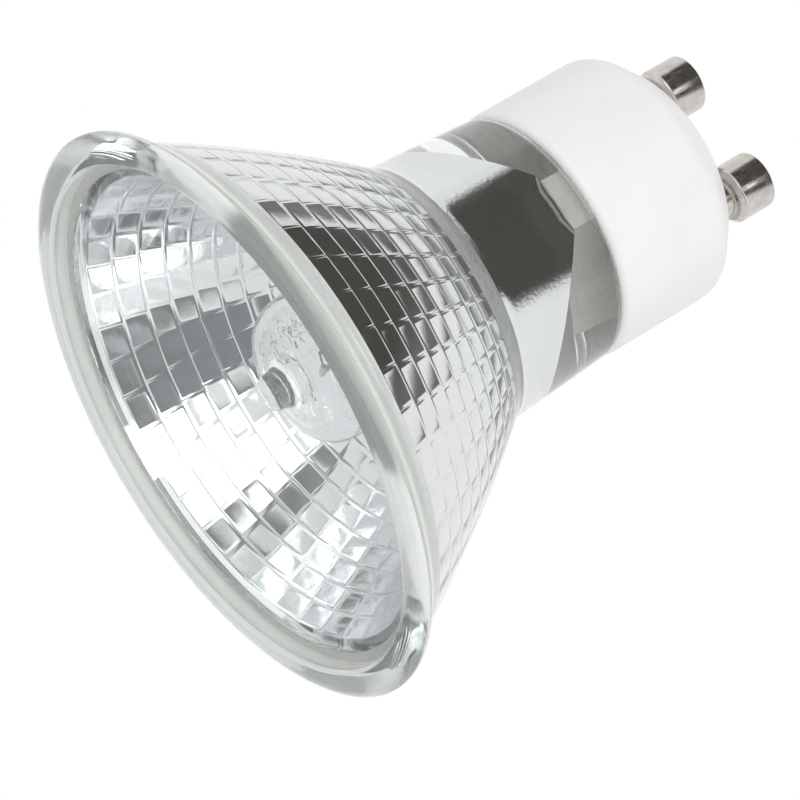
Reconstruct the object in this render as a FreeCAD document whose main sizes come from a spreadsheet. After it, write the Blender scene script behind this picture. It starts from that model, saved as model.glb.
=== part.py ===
# Halogen reflector spot lamp with a twist-lock two-pin cap, in millimetres.
# The lamp stands on its front rim: the origin is the centre of the rim plane, +Z runs
# along the lamp's axis towards the contact pins, and the pins lie on the X axis.

import FreeCAD
import Part
import Sketcher
import os

# Driving dimensions: alias, value, what it measures.
SIZE_TABLE = [
    ("rim_radius", 25.0, "outside of the rim"),
    ("rim_crown", 2.6, "radius of the rim's rounded front edge"),
    ("rim_edge_depth", 0.7, "rim plane to the rim's narrow outer edge"),
    ("rim_edge", 0.2, "width of the rim's narrow outer edge"),
    ("rim_inner_bevel", 0.3, "bevel of the rim's inner front edge"),
    ("flange_step", 1.8, "outside of the rim to the front end of the bowl, across the radius"),
    ("flange_slope", 1.8, "slope behind the rim's outer edge, along the axis"),
    ("bowl_depth", 20.6, "rim plane to the end of the bowl"),
    ("bowl_crown", 100.0, "radius of the bowl's outer curve"),
    ("rim_lip", 2.7, "rim round the front glass, from its outside to the rebate's wall"),
    ("glass_thickness", 2.0, "front glass"),
    ("glass_recess", 1.5, "front glass below the rim plane"),
    ("glass_bevel", 0.25, "ground front edge of the front glass"),
    ("seal_width", 0.7, "front glass to the rebate's wall"),
    ("seat_width", 1.7, "ledge that the front glass rests on"),
    ("facet_columns", 40, "mirror facets round the bowl"),
    ("facet_rows", 9, "rings of mirror facets"),
    ("row_taper", 0.156, "how much the rings narrow towards the throat"),
    ("row_swirl", 1.2, "turn of each ring against the one before, degrees"),
    ("throat_setback", 1.5, "last ring of facets to the end of the bowl"),
    ("throat_flare", 2.05, "last ring of facets to the neck's bore, across the radius"),
    ("throat_length", 2.2, "smooth cone between the facets and the neck's bore"),
    ("bowl_step", 0.45, "bowl to neck, across the radius"),
    ("bowl_step_length", 1.0, "bowl to neck, along the axis"),
    ("neck_length", 11.9, "end of the bowl to the neck's shoulder"),
    ("neck_draft", 0.7, "narrowing of the neck over its length"),
    ("neck_wall", 2.7, "glass wall of the neck"),
    ("neck_round", 0.6, "rounded edge of the neck's shoulder"),
    ("neck_floor", 1.5, "glass floor that closes the neck"),
    ("roof_length", 5.5, "inclined planes that close the bore on the pinch"),
    ("shoulder_width", 2.45, "neck's shoulder that the base butts on"),
    ("spigot_wall", 1.6, "glass round the corners of the pinch slot"),
    ("spigot_length", 3.5, "spigot that enters the base"),
    ("pinch_width", 12.6, "flat seal of the capsule, wide way"),
    ("pinch_thickness", 3.2, "flat seal of the capsule, over its edge rails"),
    ("pinch_web", 2.4, "flat seal of the capsule, between its edge rails"),
    ("pinch_rail", 1.6, "width of each edge rail"),
    ("pinch_gap", 0.4, "cement round the pinch"),
    ("pinch_reach", 0.6, "pinch beyond the spigot's end"),
    ("tip_gap", 1.95, "front glass to the exhaust tip"),
    ("tip_radius", 1.6, "exhaust tip"),
    ("tip_round", 0.8, "rounded end of the exhaust tip"),
    ("tip_length", 2.3, "exhaust tip"),
    ("capsule_radius", 6.4, "quartz tube"),
    ("capsule_wall", 1.0, "quartz tube"),
    ("capsule_length", 15.2, "exhaust tip's root to the tube's end"),
    ("dome_round", 3.2, "rounded shoulders of the quartz tube"),
    ("lead_pitch", 6.4, "between the two leads in the pinch"),
    ("inner_lead_radius", 0.3, "molybdenum lead"),
    ("outer_lead_radius", 0.35, "lead from the pinch to the pin"),
    ("foil_width", 2.4, "molybdenum foil"),
    ("foil_thickness", 0.1, "molybdenum foil"),
    ("foil_length", 6.5, "molybdenum foil"),
    ("foil_inset", 2.4, "foil to the pinch's end"),
    ("coil_radius", 0.9, "filament coil, at the middle of its wire"),
    ("coil_wire", 0.13, "radius of the filament's wire"),
    ("coil_turns", 12.5, "turns of the filament coil"),
    ("coil_length", 7.0, "filament coil"),
    ("coil_setback", 4.0, "exhaust tip's root to the coil's front end"),
    ("weld_gap", 0.02, "coil to the lead that carries it"),
    ("cement_gap", 0.5, "cement between the spigot and the base"),
    ("cement_setback", 0.4, "cement below the base's front edge"),
    ("base_wall", 2.05, "ceramic wall round the socket"),
    ("base_length", 13.4, "ceramic base"),
    ("base_end_wall", 4.0, "ceramic wall that carries the pins"),
    ("base_front_round", 0.9, "rounded front edge of the base"),
    ("base_bevel", 2.5, "bevelled back edge of the base"),
    ("base_bevel_round", 0.6, "where the base's side turns into the bevel, along each"),
    ("pin_pitch", 10.0, "between the contact pins"),
    ("pin_reach", 6.95, "contact pin out of the base"),
    ("pin_head_radius", 2.5, "contact pin's head"),
    ("pin_head_length", 3.2, "contact pin's head"),
    ("pin_head_round", 0.3, "rounded end of the head"),
    ("pin_head_bevel", 0.4, "bevel under the head"),
    ("pin_neck_radius", 1.55, "contact pin's neck"),
    ("pin_shank_radius", 1.25, "contact pin in its hole"),
    ("pin_clearance", 0.05, "shank to the hole's wall"),
    ("pin_rivet_radius", 2.2, "riveted inner end"),
    ("pin_rivet_thickness", 0.6, "riveted inner end"),
    ("pin_bore_play", 0.1, "lead to the pin's bore"),
    ("pin_end_wall", 2.0, "metal between the pin's bore and its end"),
]

doc = FreeCAD.newDocument("spot_lamp")
sizes = doc.addObject("Spreadsheet::Sheet", "Sizes")
for line, (alias, value, meaning) in enumerate(SIZE_TABLE, start=1):
    sizes.set(f"A{line}", meaning)
    sizes.set(f"B{line}", str(value))
    sizes.setAlias(f"B{line}", alias)
doc.recompute()

# Heights along the axis, from the rim plane.
FLANGE_BACK = "(Sizes.rim_edge_depth + Sizes.rim_edge)"
BOWL_FRONT = f"({FLANGE_BACK} + Sizes.flange_slope)"
SEAT = "(Sizes.glass_recess + Sizes.glass_thickness)"
THROAT = "(Sizes.bowl_depth - Sizes.throat_setback)"
BORE_FRONT = f"({THROAT} + Sizes.throat_length)"
NECK_FRONT = "(Sizes.bowl_depth + Sizes.bowl_step_length)"
SHOULDER = "(Sizes.bowl_depth + Sizes.neck_length)"
ROOF_BACK = f"({SHOULDER} - Sizes.neck_floor)"
ROOF_FRONT = f"({ROOF_BACK} - Sizes.roof_length)"
SPIGOT_END = f"({SHOULDER} + Sizes.spigot_length)"
PINCH_END = f"({SPIGOT_END} + Sizes.pinch_reach)"
FOIL_BACK = f"({PINCH_END} - Sizes.foil_inset)"
FOIL_FRONT = f"({FOIL_BACK} - Sizes.foil_length)"
TIP_END = f"({SEAT} + Sizes.tip_gap)"
TIP_ROOT = f"({TIP_END} + Sizes.tip_length)"
CAPSULE_END = f"({TIP_ROOT} + Sizes.capsule_length)"
COIL_FRONT = f"({TIP_ROOT} + Sizes.coil_setback)"
COIL_BACK = f"({COIL_FRONT} + Sizes.coil_length)"
BASE_END = f"({SHOULDER} + Sizes.base_length)"
SOCKET_END = f"({BASE_END} - Sizes.base_end_wall)"
PIN_END = f"({BASE_END} + Sizes.pin_reach)"
PIN_HEAD = f"({PIN_END} - Sizes.pin_head_length)"
PIN_BORE_END = f"({PIN_END} - Sizes.pin_end_wall)"

# Radii and widths, worked out from the capsule's pinch outwards and from the rim inwards.
SLOT_WIDTH = "(Sizes.pinch_width + 2 * Sizes.pinch_gap)"
SLOT_THICKNESS = "(Sizes.pinch_thickness + 2 * Sizes.pinch_gap)"
SPIGOT = f"(sqrt({SLOT_WIDTH}^2 + {SLOT_THICKNESS}^2) / 2 + Sizes.spigot_wall)"
NECK_BACK_RADIUS = f"({SPIGOT} + Sizes.shoulder_width)"
NECK_FRONT_RADIUS = f"({NECK_BACK_RADIUS} + Sizes.neck_draft)"
BOWL_END_RADIUS = f"({NECK_FRONT_RADIUS} + Sizes.bowl_step)"
BORE_BACK_RADIUS = f"({NECK_BACK_RADIUS} - Sizes.neck_wall)"
BORE_FRONT_RADIUS = f"({NECK_FRONT_RADIUS} - Sizes.neck_wall)"
THROAT_RADIUS = f"({BORE_FRONT_RADIUS} + Sizes.throat_flare)"
RIM_ROUND = "sqrt(Sizes.rim_crown^2 - (Sizes.rim_crown - Sizes.rim_edge_depth)^2)"
RIM_FLAT = f"(Sizes.rim_radius - {RIM_ROUND})"
REBATE = "(Sizes.rim_radius - Sizes.rim_lip)"
GLASS_RADIUS = f"({REBATE} - Sizes.seal_width)"
MIRROR_FRONT_RADIUS = f"({REBATE} - Sizes.seat_width)"
SOCKET = f"({SPIGOT} + Sizes.cement_gap)"
BASE_RADIUS = f"({SOCKET} + Sizes.base_wall)"
PIN_BORE = "(Sizes.outer_lead_radius + Sizes.pin_bore_play)"


def amount(expression):
    """The value of an expression on the sheet, in millimetres or degrees."""
    result = sizes.evalExpression(expression)
    return float(getattr(result, "Value", result))


def arc_centre(start, end, radius):
    """Centre of the arc of that radius that turns left from start to end, or right if it is negative."""
    half = (end - start) * 0.5
    left = FreeCAD.Vector(-half.y, half.x, 0).normalize()
    reach = max(radius**2 - half.Length**2, 0) ** 0.5
    return start + half + left * reach * (1 if radius > 0 else -1)


def outline(body, name, plane, corners, arcs=None, closed=True, height=None):
    """A sketch on one of the body's origin planes, each corner held by two expressions.

    arcs gives, for the corner an arc starts from, its radius and whether it turns left.
    """
    arcs = arcs or {}
    sketch = body.newObject("Sketcher::SketchObject", name)
    support = [f for f in body.Origin.OriginFeatures if f.Role == plane][0]
    sketch.AttachmentSupport = [(support, "")]
    sketch.MapMode = "FlatFace"
    if height:
        sketch.setExpression("AttachmentOffset.Base.z", height)
    points = [FreeCAD.Vector(amount(x), amount(y), 0) for x, y in corners]
    edge_count = len(points) if closed else len(points) - 1
    ends = []
    for i in range(edge_count):
        start = points[i]
        end = points[(i + 1) % len(points)]
        if i not in arcs:
            edge = sketch.addGeometry(Part.LineSegment(start, end), False)
            ends.append((edge, 1, 2))
            continue
        radius, turns_left = arcs[i]
        centre = arc_centre(start, end, amount(radius) * (1 if turns_left else -1))
        circle = Part.Circle(centre, FreeCAD.Vector(0, 0, 1), amount(radius))
        first, last = (start, end) if turns_left else (end, start)
        curve = Part.ArcOfCircle(circle, circle.parameter(first), circle.parameter(last))
        edge = sketch.addGeometry(curve, False)
        ends.append((edge, 1, 2) if turns_left else (edge, 2, 1))
        held = sketch.addConstraint(Sketcher.Constraint("Radius", edge, amount(radius)))
        sketch.setExpression(f"Constraints[{held}]", radius)
    for i in range(edge_count if closed else edge_count - 1):
        edge, _, end = ends[i]
        following, start, _ = ends[(i + 1) % edge_count]
        sketch.addConstraint(Sketcher.Constraint("Coincident", edge, end, following, start))
    held_ends = [(edge, start) for edge, start, _ in ends]
    if not closed:
        held_ends.append((ends[-1][0], ends[-1][2]))
    for (edge, end), corner in zip(held_ends, corners):
        for kind, axis, expression in zip(("DistanceX", "DistanceY"), (-2, -1), corner):
            if expression == "0":
                sketch.addConstraint(Sketcher.Constraint("PointOnObject", edge, end, axis))
                continue
            place = Sketcher.Constraint(kind, -1, 1, edge, end, amount(expression))
            held = sketch.addConstraint(place)
            sketch.setExpression(f"Constraints[{held}]", expression)
    return sketch


def rings(body, name, centres, radius, height):
    """A sketch of circles at one height on the body's XY plane."""
    sketch = body.newObject("Sketcher::SketchObject", name)
    support = [f for f in body.Origin.OriginFeatures if f.Role == "XY_Plane"][0]
    sketch.AttachmentSupport = [(support, "")]
    sketch.MapMode = "FlatFace"
    sketch.setExpression("AttachmentOffset.Base.z", height)
    for x, y in centres:
        middle = FreeCAD.Vector(amount(x), amount(y), 0)
        circle = Part.Circle(middle, FreeCAD.Vector(0, 0, 1), amount(radius))
        edge = sketch.addGeometry(circle, False)
        held = sketch.addConstraint(Sketcher.Constraint("Radius", edge, amount(radius)))
        sketch.setExpression(f"Constraints[{held}]", radius)
        for kind, axis, expression in (("DistanceX", -2, x), ("DistanceY", -1, y)):
            if expression == "0":
                sketch.addConstraint(Sketcher.Constraint("PointOnObject", edge, 3, axis))
                continue
            place = Sketcher.Constraint(kind, -1, 1, edge, 3, amount(expression))
            held = sketch.addConstraint(place)
            sketch.setExpression(f"Constraints[{held}]", expression)
    return sketch


def new_body(label):
    body = doc.addObject("PartDesign::Body", label)
    body.Label = label
    return body


def turned(body, name, corners, arcs=None, kind="PartDesign::Revolution"):
    """A feature turned about the axis from a half section of (radius, height) corners."""
    sketch = outline(body, f"{name}_section", "XZ_Plane", corners, arcs)
    feature = body.newObject(kind, name)
    feature.Profile = sketch
    feature.ReferenceAxis = (sketch, ["V_Axis"])
    feature.Angle = 360
    return feature


def prism(body, name, sketch, length, kind="PartDesign::Pad", upwards=True):
    """A pad or pocket of that length along the axis."""
    feature = body.newObject(kind, name)
    feature.Profile = sketch
    feature.Reversed = upwards == (kind == "PartDesign::Pocket")
    feature.setExpression("Length", length)
    return feature


def rectangle(width, depth, middle_y="0"):
    """Corners of a rectangle of that width along X and depth along Y."""
    left, right = f"-({width}) / 2", f"({width}) / 2"
    low, high = f"{middle_y} - ({depth}) / 2", f"{middle_y} + ({depth}) / 2"
    return [(left, low), (right, low), (right, high), (left, high)]


def pinch_section():
    """Corners of the capsule's flat seal: a thin web between two thicker edge rails along Y."""
    rail = "Sizes.pinch_thickness / 2"
    web = "Sizes.pinch_web / 2"
    edge = "Sizes.pinch_width / 2"
    inner = "(Sizes.pinch_width / 2 - Sizes.pinch_rail)"
    right = [(rail, f"-{edge}"), (rail, f"-{inner}"), (web, f"-{inner}")]
    right += [(web, inner), (rail, inner), (rail, edge)]
    left = [(f"-{x}", y) for x, y in reversed(right)]
    return right + left


def wire(label, radius, path, plane):
    """A round wire along a bent path, which starts upright from its first point."""
    body = new_body(label)
    route = outline(body, f"{label}_route", plane, path, closed=False)
    across, height = path[0]
    start = (across, "0") if plane == "XZ_Plane" else ("0", across)
    section = rings(body, f"{label}_section", [start], radius, height)
    pipe = body.newObject("PartDesign::AdditivePipe", f"{label}_pipe")
    pipe.Profile = section
    pipe.Spine = (route, [f"Edge{i + 1}" for i in range(len(path) - 1)])
    pipe.Transition = "Round corner"
    return body


# Front glass: a flat round disc with a ground front edge, dropped into the rim's rebate.
front_glass = new_body("front_glass")
turned(
    front_glass,
    "glass_disc",
    [
        ("0", "Sizes.glass_recess"),
        (f"{GLASS_RADIUS} - Sizes.glass_bevel", "Sizes.glass_recess"),
        (GLASS_RADIUS, "Sizes.glass_recess + Sizes.glass_bevel"),
        (GLASS_RADIUS, SEAT),
        ("0", SEAT),
    ],
)

# Front seal: the silicone that fills the rebate round the glass and laps its ground edge.
front_seal = new_body("front_seal")
turned(
    front_seal,
    "seal_ring",
    [
        (f"{GLASS_RADIUS} - Sizes.glass_bevel", "Sizes.glass_recess"),
        (GLASS_RADIUS, "Sizes.glass_recess + Sizes.glass_bevel"),
        (GLASS_RADIUS, SEAT),
        (REBATE, SEAT),
        (REBATE, "Sizes.glass_recess"),
    ],
)

# Reflector blank: one pressing with a rounded rim, a curved bowl, a drafted neck and a spigot.
reflector_blank = new_body("reflector_blank")
turned(
    reflector_blank,
    "pressed_glass",
    [
        (f"{REBATE} + Sizes.rim_inner_bevel", "0"),
        (RIM_FLAT, "0"),
        ("Sizes.rim_radius", "Sizes.rim_edge_depth"),
        ("Sizes.rim_radius", FLANGE_BACK),
        ("Sizes.rim_radius - Sizes.flange_step", BOWL_FRONT),
        (BOWL_END_RADIUS, "Sizes.bowl_depth"),
        (NECK_FRONT_RADIUS, NECK_FRONT),
        (NECK_BACK_RADIUS, f"{SHOULDER} - Sizes.neck_round"),
        (f"{NECK_BACK_RADIUS} - Sizes.neck_round", SHOULDER),
        (SPIGOT, SHOULDER),
        (SPIGOT, SPIGOT_END),
        ("0", SPIGOT_END),
        ("0", SEAT),
        (REBATE, SEAT),
        (REBATE, "Sizes.rim_inner_bevel"),
    ],
    {
        1: ("Sizes.rim_crown", True),
        4: ("Sizes.bowl_crown", True),
        7: ("Sizes.neck_round", True),
    },
)

# Mirror facets: each ring is a many-sided frustum with flat faces, whose corners lie on a
# parabola of revolution, and each ring is turned a little against the one before it.
MIRROR_DEPTH = f"({THROAT} - {SEAT})"


def ring_height(row):
    share = f"({row} / Sizes.facet_rows)"
    return f"({SEAT} + {MIRROR_DEPTH} * {share} * (1 + Sizes.row_taper * (1 - {share})))"


def ring_radius(row):
    fall = f"({MIRROR_FRONT_RADIUS}^2 - {THROAT_RADIUS}^2)"
    depth = f"({ring_height(row)} - {SEAT}) / {MIRROR_DEPTH}"
    return f"sqrt({MIRROR_FRONT_RADIUS}^2 - {fall} * {depth})"


def facet_edge(name, row, turn):
    """The polygon that a ring of facets starts or ends on."""
    polygon = doc.addObject("Part::RegularPolygon", name)
    polygon.Placement.Rotation = FreeCAD.Rotation(FreeCAD.Vector(0, 0, 1), 1)
    polygon.setExpression("Polygon", "Sizes.facet_columns")
    polygon.setExpression("Circumradius", ring_radius(row))
    polygon.setExpression("Placement.Base.z", ring_height(row))
    polygon.setExpression("Placement.Rotation.Angle", turn)
    return polygon


cavity_tools = []
for row in range(int(sizes.facet_rows)):
    turn = f"{row} * Sizes.row_swirl"
    ring = doc.addObject("Part::Loft", f"facet_ring_{row + 1}")
    ring.Sections = [
        facet_edge(f"facet_front_{row + 1}", row, turn),
        facet_edge(f"facet_back_{row + 1}", row + 1, turn),
    ]
    ring.Solid = True
    ring.Ruled = True
    cavity_tools.append(ring)

# Throat and neck bore: a smooth cone behind the facets, then a drafted round bore that two
# inclined planes close down on the slot for the capsule's pinch.
throat = doc.addObject("Part::Cone", "throat")
throat.setExpression("Radius1", THROAT_RADIUS)
throat.setExpression("Radius2", BORE_FRONT_RADIUS)
throat.setExpression("Height", "Sizes.throat_length")
throat.setExpression("Placement.Base.z", THROAT)

bore = doc.addObject("Part::Cone", "neck_bore")
bore.setExpression("Radius1", BORE_FRONT_RADIUS)
bore.setExpression("Radius2", BORE_BACK_RADIUS)
bore.setExpression("Height", f"{ROOF_BACK} - {BORE_FRONT}")
bore.setExpression("Placement.Base.z", BORE_FRONT)

# The wedge's own Y axis is turned to lie along the lamp's axis, and its Z axis along -Y.
roof_planes = doc.addObject("Part::Wedge", "roof_planes")
roof_planes.Placement.Rotation = FreeCAD.Rotation(FreeCAD.Vector(1, 0, 0), 90)
for prop, half_width, sign in (
    ("Xmin", BORE_FRONT_RADIUS, "-"),
    ("Xmax", BORE_FRONT_RADIUS, ""),
    ("X2min", f"{SLOT_THICKNESS} / 2", "-"),
    ("X2max", f"{SLOT_THICKNESS} / 2", ""),
    ("Zmin", BORE_FRONT_RADIUS, "-"),
    ("Zmax", BORE_FRONT_RADIUS, ""),
    ("Z2min", BORE_FRONT_RADIUS, "-"),
    ("Z2max", BORE_FRONT_RADIUS, ""),
):
    roof_planes.setExpression(prop, sign + half_width)
roof_planes.setExpression("Ymin", ROOF_FRONT)
roof_planes.setExpression("Ymax", ROOF_BACK)

bore_run = doc.addObject("Part::Cylinder", "bore_run")
bore_run.setExpression("Radius", BORE_FRONT_RADIUS)
bore_run.setExpression("Height", f"{ROOF_FRONT} - {BORE_FRONT}")
bore_run.setExpression("Placement.Base.z", BORE_FRONT)

roof = doc.addObject("Part::MultiFuse", "bore_limits")
roof.Shapes = [bore_run, roof_planes]

neck_cavity = doc.addObject("Part::MultiCommon", "neck_cavity")
neck_cavity.Shapes = [bore, roof]

slot = doc.addObject("Part::Box", "pinch_slot")
slot.setExpression("Length", SLOT_THICKNESS)
slot.setExpression("Width", SLOT_WIDTH)
slot.setExpression("Height", f"{SPIGOT_END} - {ROOF_BACK}")
slot.setExpression("Placement.Base.x", f"-{SLOT_THICKNESS} / 2")
slot.setExpression("Placement.Base.y", f"-{SLOT_WIDTH} / 2")
slot.setExpression("Placement.Base.z", ROOF_BACK)

mirror_cavity = doc.addObject("Part::MultiFuse", "mirror_cavity")
mirror_cavity.Shapes = cavity_tools + [throat, neck_cavity, slot]

reflector = doc.addObject("Part::Cut", "reflector")
reflector.Label = "reflector"
reflector.Base = reflector_blank
reflector.Tool = mirror_cavity

# Quartz capsule: a blown tube with a domed front, a drawn exhaust tip and a pressed flat seal,
# hollow in the middle, with channels where the leads and foils are sealed in.
CAPSULE_INNER = "(Sizes.capsule_radius - Sizes.capsule_wall)"
INNER_ROUND = "(Sizes.dome_round - Sizes.capsule_wall)"
VOID_FRONT = f"({TIP_ROOT} + Sizes.capsule_wall)"
VOID_BACK = f"({CAPSULE_END} - Sizes.capsule_wall)"
quartz_capsule = new_body("quartz_capsule")
turned(
    quartz_capsule,
    "blown_tube",
    [
        ("0", TIP_END),
        ("Sizes.tip_radius - Sizes.tip_round", TIP_END),
        ("Sizes.tip_radius", f"{TIP_END} + Sizes.tip_round"),
        ("Sizes.tip_radius", TIP_ROOT),
        ("Sizes.capsule_radius - Sizes.dome_round", TIP_ROOT),
        ("Sizes.capsule_radius", f"{TIP_ROOT} + Sizes.dome_round"),
        ("Sizes.capsule_radius", f"{CAPSULE_END} - Sizes.dome_round"),
        ("Sizes.capsule_radius - Sizes.dome_round", CAPSULE_END),
        ("0", CAPSULE_END),
    ],
    {1: ("Sizes.tip_round", True), 4: ("Sizes.dome_round", True), 6: ("Sizes.dome_round", True)},
)
flat_seal = outline(quartz_capsule, "pinch_section", "XY_Plane", pinch_section(), height=VOID_BACK)
prism(quartz_capsule, "pinch", flat_seal, f"{PINCH_END} - {VOID_BACK}")
turned(
    quartz_capsule,
    "gas_space",
    [
        ("0", VOID_FRONT),
        (f"{CAPSULE_INNER} - {INNER_ROUND}", VOID_FRONT),
        (CAPSULE_INNER, f"{VOID_FRONT} + {INNER_ROUND}"),
        (CAPSULE_INNER, f"{VOID_BACK} - {INNER_ROUND}"),
        (f"{CAPSULE_INNER} - {INNER_ROUND}", VOID_BACK),
        ("0", VOID_BACK),
    ],
    {1: (INNER_ROUND, True), 3: (INNER_ROUND, True)},
    "PartDesign::Groove",
)
LEAD_PLACES = [("0", "-Sizes.lead_pitch / 2"), ("0", "Sizes.lead_pitch / 2")]
inner_channels = rings(
    quartz_capsule, "inner_channel_rings", LEAD_PLACES, "Sizes.inner_lead_radius", FOIL_FRONT
)
prism(
    quartz_capsule,
    "inner_channels",
    inner_channels,
    f"{FOIL_FRONT} - {VOID_BACK} + Sizes.capsule_wall",
    "PartDesign::Pocket",
    upwards=False,
)
outer_channels = rings(
    quartz_capsule, "outer_channel_rings", LEAD_PLACES, "Sizes.outer_lead_radius", FOIL_BACK
)
prism(quartz_capsule, "outer_channels", outer_channels, "Sizes.foil_inset", "PartDesign::Pocket")
for side, (_, middle) in zip(("left", "right"), LEAD_PLACES):
    foil_pocket = outline(
        quartz_capsule,
        f"foil_pocket_{side}_section",
        "XY_Plane",
        rectangle("Sizes.foil_thickness", "Sizes.foil_width", middle),
        height=FOIL_FRONT,
    )
    prism(
        quartz_capsule,
        f"foil_pocket_{side}",
        foil_pocket,
        "Sizes.foil_length",
        "PartDesign::Pocket",
    )
    foil = new_body(f"seal_foil_{side}")
    strip = outline(
        foil,
        f"seal_foil_{side}_section",
        "XY_Plane",
        rectangle("Sizes.foil_thickness", "Sizes.foil_width", middle),
        height=FOIL_FRONT,
    )
    prism(foil, f"seal_foil_{side}_strip", strip, "Sizes.foil_length")

# Filament: a tungsten coil on the lamp's axis, its ends on opposite sides.
coil_path = doc.addObject("Part::Helix", "coil_path")
coil_path.Placement.Rotation = FreeCAD.Rotation(FreeCAD.Vector(0, 0, 1), 90)
coil_path.setExpression("Radius", "Sizes.coil_radius")
coil_path.setExpression("Height", "Sizes.coil_length")
coil_path.setExpression("Pitch", "Sizes.coil_length / Sizes.coil_turns")
coil_path.setExpression("Placement.Base.z", COIL_FRONT)

coil_section = doc.addObject("Part::Circle", "coil_section")
coil_section.Placement.Rotation = FreeCAD.Rotation(FreeCAD.Vector(0, 1, 0), 90)
coil_section.setExpression("Radius", "Sizes.coil_wire")
coil_section.setExpression("Placement.Base.y", "Sizes.coil_radius")
coil_section.setExpression("Placement.Base.z", COIL_FRONT)

filament = doc.addObject("Part::Sweep", "filament")
filament.Label = "filament"
filament.Sections = [coil_section]
filament.Spine = (coil_path, [])
filament.Solid = True
filament.Frenet = True

# Inner leads: the short one carries the coil's back end, the long one reaches past it to the
# front end. Both leave the foils in the pinch and bend in to the axis.
COIL_SIDE = "(Sizes.coil_radius + Sizes.coil_wire + Sizes.weld_gap)"
for label, sign, height in (
    ("inner_lead_short", "-", COIL_BACK),
    ("inner_lead_long", "", COIL_FRONT),
):
    beside = f"{sign}Sizes.lead_pitch / 2"
    wire(
        label,
        "Sizes.inner_lead_radius",
        [(beside, FOIL_FRONT), (beside, height), (sign + COIL_SIDE, height)],
        "YZ_Plane",
    )

# Pinch cement: fills the reflector's slot round the pinch.
pinch_cement = new_body("pinch_cement")
slot_fill = outline(
    pinch_cement,
    "slot_fill_section",
    "XY_Plane",
    rectangle(SLOT_THICKNESS, SLOT_WIDTH),
    height=ROOF_BACK,
)
prism(pinch_cement, "slot_fill", slot_fill, f"{SPIGOT_END} - {ROOF_BACK}")
pinch_hole = outline(
    pinch_cement, "pinch_hole_section", "XY_Plane", pinch_section(), height=ROOF_BACK
)
prism(
    pinch_cement,
    "pinch_hole",
    pinch_hole,
    f"{SPIGOT_END} - {ROOF_BACK}",
    "PartDesign::Pocket",
)

# Ceramic base: a round moulding with a socket for the spigot and a thick end wall for the pins.
ceramic_base = new_body("ceramic_base")
BEVEL_EDGE = "(Sizes.base_bevel_round * sqrt(0.5))"
BEVEL_TURN = "(Sizes.base_bevel_round / tan(22.5))"
turned(
    ceramic_base,
    "moulding",
    [
        (SOCKET, SHOULDER),
        (f"{BASE_RADIUS} - Sizes.base_front_round", SHOULDER),
        (BASE_RADIUS, f"{SHOULDER} + Sizes.base_front_round"),
        (BASE_RADIUS, f"{BASE_END} - Sizes.base_bevel - Sizes.base_bevel_round"),
        (f"{BASE_RADIUS} - {BEVEL_EDGE}", f"{BASE_END} - Sizes.base_bevel + {BEVEL_EDGE}"),
        (f"{BASE_RADIUS} - Sizes.base_bevel + {BEVEL_EDGE}", f"{BASE_END} - {BEVEL_EDGE}"),
        (f"{BASE_RADIUS} - Sizes.base_bevel - Sizes.base_bevel_round", BASE_END),
        ("0", BASE_END),
        ("0", SOCKET_END),
        (SOCKET, SOCKET_END),
    ],
    {1: ("Sizes.base_front_round", True), 3: (BEVEL_TURN, True), 5: (BEVEL_TURN, True)},
)
PIN_PLACES = [("-Sizes.pin_pitch / 2", "0"), ("Sizes.pin_pitch / 2", "0")]
pin_hole_rings = rings(
    ceramic_base,
    "pin_hole_rings",
    PIN_PLACES,
    "Sizes.pin_shank_radius + Sizes.pin_clearance",
    SOCKET_END,
)
prism(ceramic_base, "pin_holes", pin_hole_rings, "Sizes.base_end_wall", "PartDesign::Pocket")

# Base cement: the ring between the reflector's spigot and the socket.
base_cement = new_body("base_cement")
turned(
    base_cement,
    "cement_ring",
    [
        (SPIGOT, f"{SHOULDER} + Sizes.cement_setback"),
        (SOCKET, f"{SHOULDER} + Sizes.cement_setback"),
        (SOCKET, SPIGOT_END),
        (SPIGOT, SPIGOT_END),
    ],
)

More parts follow.
